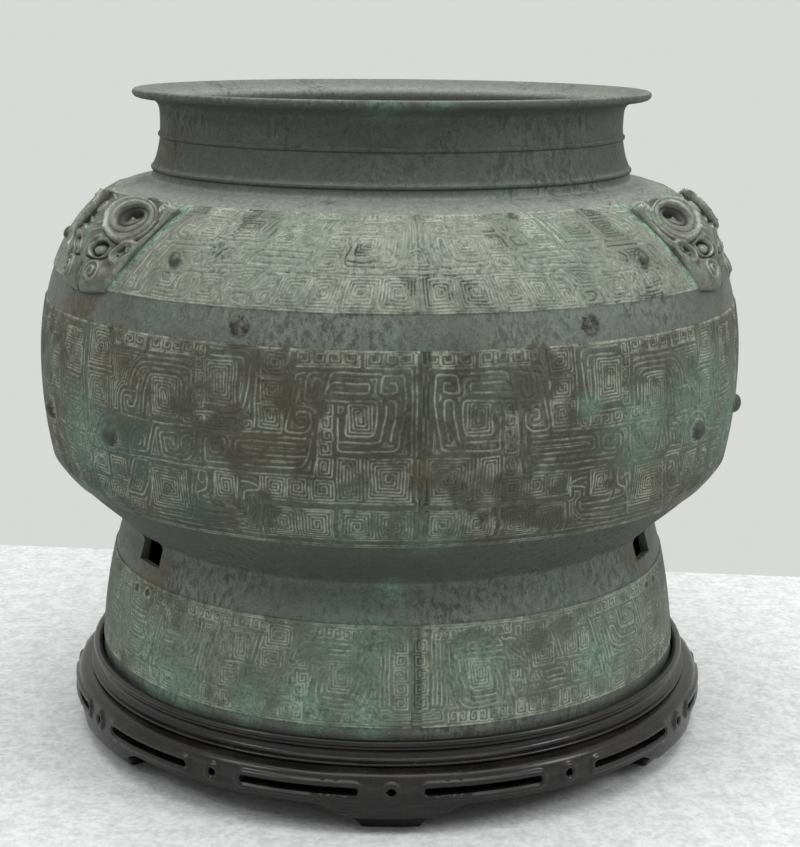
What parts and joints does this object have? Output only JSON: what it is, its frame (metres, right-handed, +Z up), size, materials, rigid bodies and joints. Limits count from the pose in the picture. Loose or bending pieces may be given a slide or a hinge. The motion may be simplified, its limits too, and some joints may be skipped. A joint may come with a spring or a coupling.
{
  "type": "bronze bu jar",
  "caption": "Squat wide-mouthed bronze wine jar with ram's heads on its shoulder and bands of square spirals, seated in the round pierced hardwood stand that it lifts out of.",
  "frame": {"origin": "on the table, under the middle of the stand", "axes": "+Z up through the mouth; the jar's front casting seam faces -Y, and the heads are at 60 degrees to either side of it and at the back"},
  "size_m": [0.366, 0.3665, 0.336],
  "materials": {
    "patinated_bronze": "grey-green patina over dark bronze, with pale verdigris in the cast lines",
    "cast_on_bronze": "dark bronze, rubbed on the high points, green in the hollows",
    "chaplet_bronze": "rough dark bronze",
    "dark_hardwood": "near-black hardwood, satin polish",
    "panel_wood": "dark stained board, unpolished"
  },
  "bodies": {
    "stand": {"stand_seat_ring": "dark_hardwood", "stand_floor_panel": "panel_wood", "stand_apron_1": "dark_hardwood", "stand_apron_2": "dark_hardwood", "stand_apron_3": "dark_hardwood", "stand_apron_4": "dark_hardwood", "stand_apron_5": "dark_hardwood", "stand_apron_6": "dark_hardwood", "stand_foot_1": "dark_hardwood", "stand_foot_2": "dark_hardwood", "stand_foot_3": "dark_hardwood", "stand_foot_4": "dark_hardwood", "stand_foot_5": "dark_hardwood", "stand_foot_6": "dark_hardwood"},
    "jar": {"jar_body": "patinated_bronze", "ram_head_1": "cast_on_bronze", "ram_head_2": "cast_on_bronze", "ram_head_3": "cast_on_bronze", "chaplet_1": "chaplet_bronze", "chaplet_2": "chaplet_bronze", "chaplet_3": "chaplet_bronze", "chaplet_4": "chaplet_bronze", "chaplet_5": "chaplet_bronze", "chaplet_6": "chaplet_bronze"}
  },
  "joints": [
    {"name": "jar_lift", "type": "slide", "parent": "stand", "child": "jar", "axis": [0, 0, 1], "range_m": [0, 0.15]}
  ]
}
